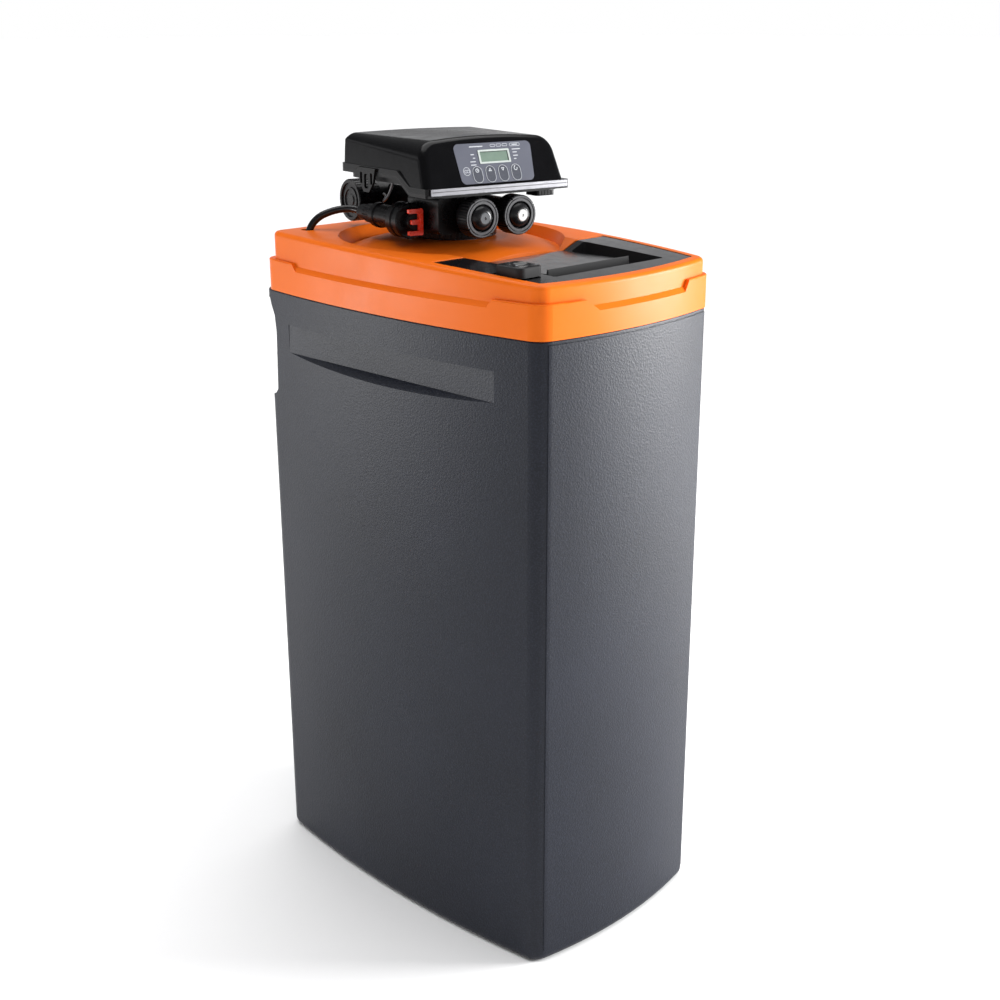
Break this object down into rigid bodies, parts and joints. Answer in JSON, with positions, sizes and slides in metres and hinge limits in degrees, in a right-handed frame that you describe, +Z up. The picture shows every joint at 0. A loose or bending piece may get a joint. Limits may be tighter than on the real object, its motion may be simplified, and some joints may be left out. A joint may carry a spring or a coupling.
{
  "type": "water softener",
  "caption": "Cabinet water softener: bowed brine cabinet with lid and salt hatch, resin vessel inside, control valve head with display and keys, brine line and bypass ports.",
  "frame": {"origin": "on the floor under the middle of the cabinet's plan", "axes": "+Z up, the salt hatch and the display face -Y, +X is to the right for someone who faces the display"},
  "size_m": [0.348, 0.5584, 1.0145],
  "materials": {
    "cabinet": "fine pebble grain",
    "lid": "satin moulded",
    "hatch": "gloss",
    "hood": "high gloss",
    "tray": "satin",
    "valve": "satin, glass-filled",
    "nut": "satin",
    "plug": "gloss",
    "disc_grey": "satin",
    "disc_white": "satin",
    "panel": "satin film",
    "lcd_frame": "gloss",
    "lcd": "polished window",
    "key": "satin film",
    "trim": "silver",
    "clip_red": "gloss",
    "tube": "satin polyethylene",
    "wire": "satin sheath",
    "steel": "brushed",
    "brass": "machined",
    "seal": "matte",
    "vessel": "wound glass fibre",
    "natural": "natural moulded",
    "resin": "bead bed",
    "ceramic": "lapped",
    "gear": "natural acetal",
    "board": "solder mask"
  },
  "bodies": {
    "cabinet": {"cabinet_body": "cabinet", "lid_cover": "lid", "hatch_hinge_pins": "steel", "pressure_vessel": "vessel", "vessel_base": "tray", "riser_tube": "natural", "bottom_distributor": "natural", "top_distributor": "natural", "resin_bed": "resin", "brine_well": "natural", "brine_well_cap": "natural", "safety_valve": "natural", "pickup_tube": "natural", "salt_grid": "natural", "overflow_nut": "tray", "overflow_elbow": "tray", "head_base": "tray", "valve_body": "valve", "tank_collar": "valve", "collar_seal": "seal", "port_plug_left": "plug", "port_plug_right": "plug", "plug_disc_left": "disc_grey", "plug_disc_right": "disc_white", "meter_cap": "nut", "turbine_axle": "steel", "drain_elbow": "tray", "brine_fitting": "valve", "brine_nut": "nut", "brine_line": "tube", "meter_cable": "wire", "stator_disc": "ceramic", "valve_bonnet": "valve", "bonnet_screws": "steel", "drive_motor": "steel", "front_trim": "trim", "cover_clips": "tray", "power_inlet": "tray"},
    "hatch": {"salt_hatch": "hatch"},
    "latch": {"hatch_latch": "hatch"},
    "float": {"float_rod": "natural", "brine_float": "natural"},
    "rotor": {"rotor_disc": "ceramic", "drive_shaft": "gear", "main_gear": "gear"},
    "idler": {"idler_gear": "gear"},
    "pinion": {"motor_pinion": "brass"},
    "turbine": {"meter_turbine": "gear"},
    "hood": {"head_cover": "hood", "control_panel": "panel", "lcd_frame": "lcd_frame", "lcd_glass": "lcd", "circuit_board": "board"},
    "set_key": {"key_set": "key"},
    "up_key": {"key_up": "key"},
    "down_key": {"key_down": "key"},
    "regen_key": {"key_regen": "key"},
    "nut_left": {"port_nut_left": "nut"},
    "nut_right": {"port_nut_right": "nut"},
    "clip": {"retaining_clip": "clip_red"}
  },
  "joints": [
    {"name": "hatch_hinge", "type": "hinge", "parent": "cabinet", "child": "hatch", "pos_m": [0, -0.0855, 0.8755], "axis": [-1, 0, 0], "range_deg": [0, 88]},
    {"name": "latch_slide", "type": "slide", "parent": "hatch", "child": "latch", "axis": [0, -1, 0], "range_m": [0, 0.006]},
    {"name": "float_slide", "type": "slide", "parent": "cabinet", "child": "float", "axis": [0, 0, 1], "range_m": [0, 0.028]},
    {"name": "valve_turn", "type": "hinge", "parent": "cabinet", "child": "rotor", "pos_m": [0, 0.043, 0.925], "axis": [0, 0, 1], "continuous": true},
    {"name": "idler_spin", "type": "hinge", "parent": "cabinet", "child": "idler", "pos_m": [0.03603, 0.06823, 0.97], "axis": [0, 0, 1], "continuous": true},
    {"name": "pinion_spin", "type": "hinge", "parent": "cabinet", "child": "pinion", "pos_m": [0.06754, 0.06267, 0.978], "axis": [0, 0, 1], "continuous": true},
    {"name": "turbine_spin", "type": "hinge", "parent": "cabinet", "child": "turbine", "pos_m": [-0.0163, 0.18093, 0.9215], "axis": [0.9848, -0.1736, 0], "continuous": true},
    {"name": "cover_lift", "type": "slide", "parent": "cabinet", "child": "hood", "axis": [0, 0, 1], "range_m": [0, 0.06]},
    {"name": "left_nut_turn", "type": "hinge", "parent": "cabinet", "child": "nut_left", "pos_m": [-0.04437, -0.04564, 0.9185], "axis": [-0.1736, -0.9848, 0], "range_deg": [0, 30]},
    {"name": "right_nut_turn", "type": "hinge", "parent": "cabinet", "child": "nut_right", "pos_m": [0.01137, -0.05547, 0.9185], "axis": [-0.1736, -0.9848, 0], "range_deg": [0, 30]},
    {"name": "clip_pull", "type": "slide", "parent": "cabinet", "child": "clip", "axis": [-0.9848, 0.1736, 0], "range_m": [0, 0.024]},
    {"name": "set_press", "type": "slide", "parent": "hood", "child": "set_key", "axis": [0.1609, 0.9125, -0.3762], "range_m": [0, 0.0008], "stiffness_N_per_m": 900, "springref_m": -0.0006},
    {"name": "up_press", "type": "slide", "parent": "hood", "child": "up_key", "axis": [0.1609, 0.9125, -0.3762], "range_m": [0, 0.0008], "stiffness_N_per_m": 900, "springref_m": -0.0006},
    {"name": "down_press", "type": "slide", "parent": "hood", "child": "down_key", "axis": [0.1609, 0.9125, -0.3762], "range_m": [0, 0.0008], "stiffness_N_per_m": 900, "springref_m": -0.0006},
    {"name": "regen_press", "type": "slide", "parent": "hood", "child": "regen_key", "axis": [0.1609, 0.9125, -0.3762], "range_m": [0, 0.0008], "stiffness_N_per_m": 900, "springref_m": -0.0006}
  ],
  "couplings": [
    {"joint": "idler_spin", "follows": "valve_turn", "ratio": -3.4},
    {"joint": "pinion_spin", "follows": "valve_turn", "ratio": 12.143}
  ]
}
